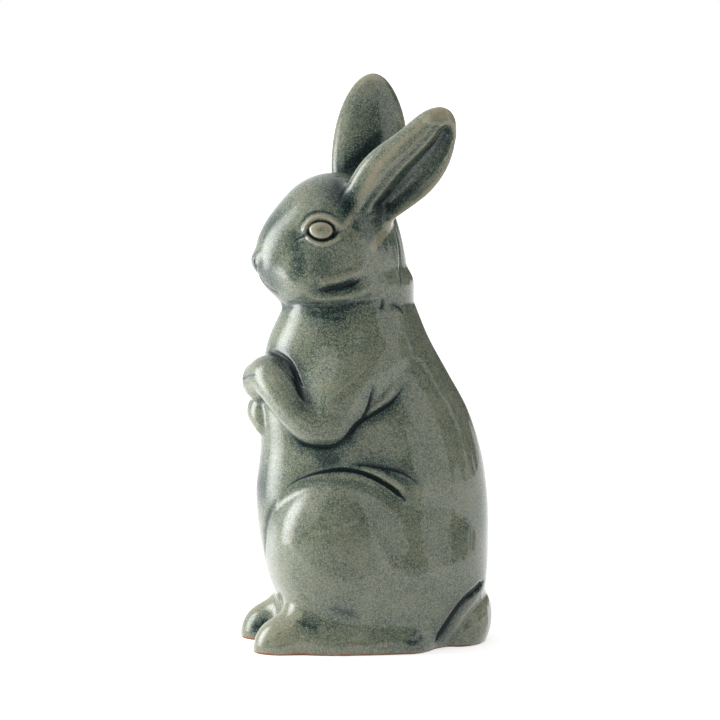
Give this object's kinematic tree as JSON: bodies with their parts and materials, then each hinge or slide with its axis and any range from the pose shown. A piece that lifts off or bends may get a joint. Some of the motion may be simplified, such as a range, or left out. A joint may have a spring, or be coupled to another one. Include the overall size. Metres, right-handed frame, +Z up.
{
  "type": "rabbit figurine",
  "caption": "Tall standing rabbit ornament in crackled grey-green glaze, with cupped splayed ears, paws folded on its chest and a flat foot to stand on.",
  "frame": {"origin": "middle of the outline seen from above, at the level of the surface that the foot stands on", "axes": "+X from the nose toward the tail, +Y toward the rabbit's right side, +Z up"},
  "size_m": [0.1328, 0.1, 0.2971],
  "materials": {
    "celadon_glaze": "glossy crackle glaze, dark blue-green where it pools in hollows and tan where it thins on ridges"
  },
  "bodies": {
    "root": {"body": "celadon_glaze", "head": "celadon_glaze", "left_ear": "celadon_glaze", "right_ear": "celadon_glaze", "left_foreleg": "celadon_glaze", "right_foreleg": "celadon_glaze", "tail": "celadon_glaze"}
  },
  "joints": []
}
